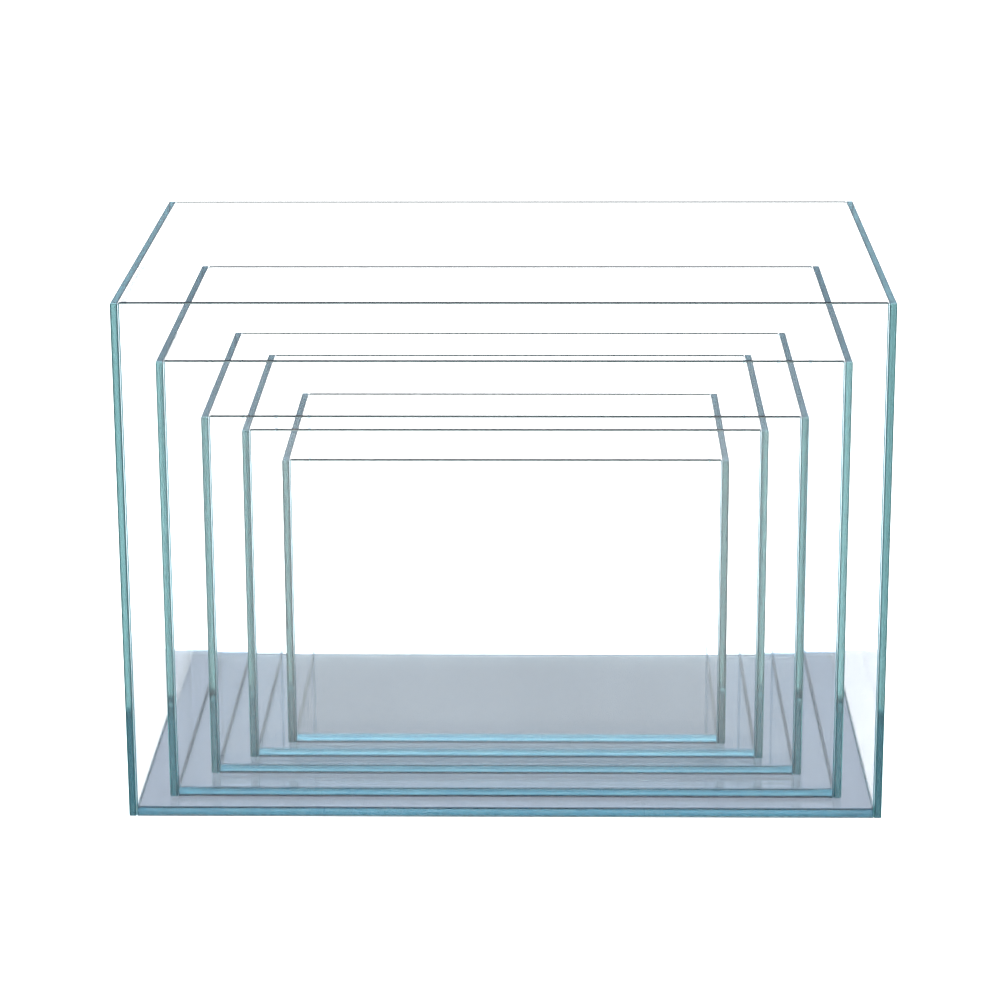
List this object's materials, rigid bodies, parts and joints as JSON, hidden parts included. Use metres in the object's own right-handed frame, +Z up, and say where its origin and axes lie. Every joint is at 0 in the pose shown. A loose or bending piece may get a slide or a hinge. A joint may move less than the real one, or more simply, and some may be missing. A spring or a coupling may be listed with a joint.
{
  "type": "nesting glass aquarium tank set",
  "caption": "Rimless clear glass aquarium tanks with bonded panes, each standing inside the next larger one, that lift out one by one.",
  "frame": {"origin": "on the underside of the largest tank, at the middle of its width and depth", "axes": "+X along the tanks' width, +Z up, the front panes face -Y"},
  "size_m": [0.5, 0.33, 0.35],
  "materials": {
    "clear_glass": "polished clear float glass with a blue-green tint along its edges",
    "clear_silicone": "clear, slightly milky silicone with a smooth tooled face"
  },
  "bodies": {
    "tank_1": {"tank_1_front_pane": "clear_glass", "tank_1_back_pane": "clear_glass", "tank_1_left_pane": "clear_glass", "tank_1_right_pane": "clear_glass", "tank_1_base_pane": "clear_glass", "tank_1_base_seam": "clear_silicone", "tank_1_front_left_seam": "clear_silicone", "tank_1_front_right_seam": "clear_silicone", "tank_1_back_left_seam": "clear_silicone", "tank_1_back_right_seam": "clear_silicone"},
    "tank_2": {"tank_2_front_pane": "clear_glass", "tank_2_back_pane": "clear_glass", "tank_2_left_pane": "clear_glass", "tank_2_right_pane": "clear_glass", "tank_2_base_pane": "clear_glass", "tank_2_base_seam": "clear_silicone", "tank_2_front_left_seam": "clear_silicone", "tank_2_front_right_seam": "clear_silicone", "tank_2_back_left_seam": "clear_silicone", "tank_2_back_right_seam": "clear_silicone"},
    "tank_3": {"tank_3_front_pane": "clear_glass", "tank_3_back_pane": "clear_glass", "tank_3_left_pane": "clear_glass", "tank_3_right_pane": "clear_glass", "tank_3_base_pane": "clear_glass", "tank_3_base_seam": "clear_silicone", "tank_3_front_left_seam": "clear_silicone", "tank_3_front_right_seam": "clear_silicone", "tank_3_back_left_seam": "clear_silicone", "tank_3_back_right_seam": "clear_silicone"},
    "tank_4": {"tank_4_front_pane": "clear_glass", "tank_4_back_pane": "clear_glass", "tank_4_left_pane": "clear_glass", "tank_4_right_pane": "clear_glass", "tank_4_base_pane": "clear_glass", "tank_4_base_seam": "clear_silicone", "tank_4_front_left_seam": "clear_silicone", "tank_4_front_right_seam": "clear_silicone", "tank_4_back_left_seam": "clear_silicone", "tank_4_back_right_seam": "clear_silicone"},
    "tank_5": {"tank_5_front_pane": "clear_glass", "tank_5_back_pane": "clear_glass", "tank_5_left_pane": "clear_glass", "tank_5_right_pane": "clear_glass", "tank_5_base_pane": "clear_glass", "tank_5_base_seam": "clear_silicone", "tank_5_front_left_seam": "clear_silicone", "tank_5_front_right_seam": "clear_silicone", "tank_5_back_left_seam": "clear_silicone", "tank_5_back_right_seam": "clear_silicone"}
  },
  "joints": [
    {"name": "tank_2_lift", "type": "slide", "parent": "tank_1", "child": "tank_2", "axis": [0, 0, 1], "range_m": [0, 0.36]},
    {"name": "tank_3_lift", "type": "slide", "parent": "tank_2", "child": "tank_3", "axis": [0, 0, 1], "range_m": [0, 0.315]},
    {"name": "tank_4_lift", "type": "slide", "parent": "tank_3", "child": "tank_4", "axis": [0, 0, 1], "range_m": [0, 0.265]},
    {"name": "tank_5_lift", "type": "slide", "parent": "tank_4", "child": "tank_5", "axis": [0, 0, 1], "range_m": [0, 0.245]}
  ]
}
